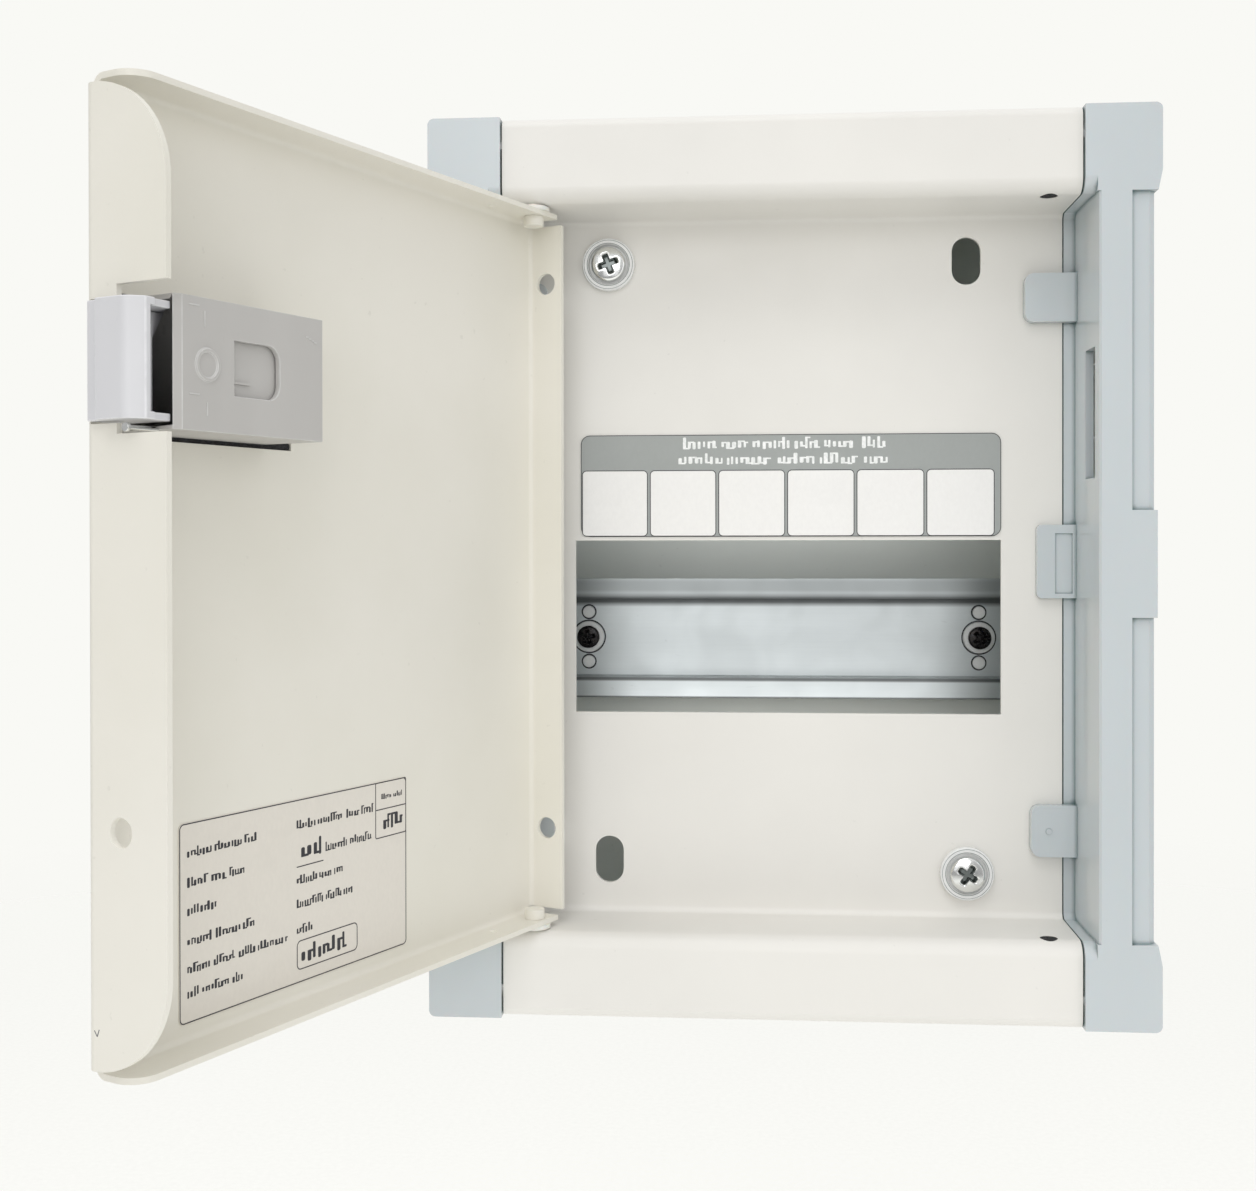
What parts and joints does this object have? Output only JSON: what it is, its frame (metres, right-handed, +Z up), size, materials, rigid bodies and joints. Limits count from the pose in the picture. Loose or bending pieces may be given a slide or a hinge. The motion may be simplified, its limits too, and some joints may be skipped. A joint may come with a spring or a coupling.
{
  "type": "residential load center",
  "caption": "Wall-mounted load centre: sheet-metal box with a DIN rail, recessed breaker plate between moulded side bars, and a hinged door with a spring latch, standing open.",
  "frame": {"origin": "middle of the back face of the wall box", "axes": "+X to the right seen from the front, +Y back into the wall, +Z up; the front lies at negative Y"},
  "size_m": [0.2156, 0.2127, 0.224],
  "materials": {
    "back_box": "grey-white powder coat",
    "rail_brackets": "zinc-plated steel",
    "din_rail": "bright zinc-plated steel",
    "rail_rivets": "zinc-plated, domed",
    "rail_washers": "zinc-plated",
    "rail_screws": "black oxide",
    "neutral_supports": "moulded insulator",
    "neutral_bar": "drawn bar",
    "neutral_screws": "zinc-plated",
    "earth_posts": "zinc-plated",
    "earth_bar": "drawn bar",
    "earth_screws": "zinc-plated",
    "cover_posts": "zinc-plated",
    "front_cover": "smooth satin white powder coat",
    "left_side_bar": "smooth satin blue-grey moulding",
    "right_side_bar": "smooth satin blue-grey moulding",
    "side_bar_screws": "zinc-plated",
    "marking_strip": "printed grey film",
    "marking_labels": "blank white write-on squares",
    "cover_screw_bushes": "clear moulding",
    "cover_screws": "nickel-plated, combination recess",
    "door_panel": "smooth satin warm-white powder coat",
    "door_label": "printed paper film",
    "hinge_pin_top": "zinc-plated",
    "hinge_pin_bottom": "zinc-plated",
    "hinge_washers": "nylon",
    "latch_bezel": "fine-grained moulding",
    "latch_housing": "fine-grained moulding",
    "latch_bolt": "fine-grained moulding",
    "latch_spring": "spring wire",
    "latch_wire": "bright wire"
  },
  "bodies": {
    "enclosure": {"back_box": "back_box", "rail_brackets": "rail_brackets", "din_rail": "din_rail", "rail_rivets": "rail_rivets", "rail_washers": "rail_washers", "rail_screws": "rail_screws", "neutral_supports": "neutral_supports", "neutral_bar": "neutral_bar", "neutral_screws": "neutral_screws", "earth_posts": "earth_posts", "earth_bar": "earth_bar", "earth_screws": "earth_screws", "cover_posts": "cover_posts", "front_cover": "front_cover", "left_side_bar": "left_side_bar", "right_side_bar": "right_side_bar", "side_bar_screws": "side_bar_screws", "marking_strip": "marking_strip", "marking_labels": "marking_labels", "cover_screw_bushes": "cover_screw_bushes", "cover_screws": "cover_screws"},
    "door": {"door_panel": "door_panel", "door_label": "door_label", "hinge_pin_top": "hinge_pin_top", "hinge_pin_bottom": "hinge_pin_bottom", "hinge_washers": "hinge_washers", "latch_bezel": "latch_bezel", "latch_housing": "latch_housing", "latch_spring": "latch_spring", "latch_wire": "latch_wire"},
    "latch": {"latch_bolt": "latch_bolt"}
  },
  "joints": [
    {"name": "door_hinge", "type": "hinge", "parent": "enclosure", "child": "door", "pos_m": [-0.0637, -0.0833, 0], "axis": [0, 0, 1], "range_deg": [-2.3, 114.7]},
    {"name": "latch_slide", "type": "slide", "parent": "door", "child": "latch", "axis": [0.4179, 0.9085, 0], "range_m": [0, 0.0035], "stiffness_N_per_m": 400, "springref_m": -0.004, "deforming": ["latch_spring"]}
  ]
}
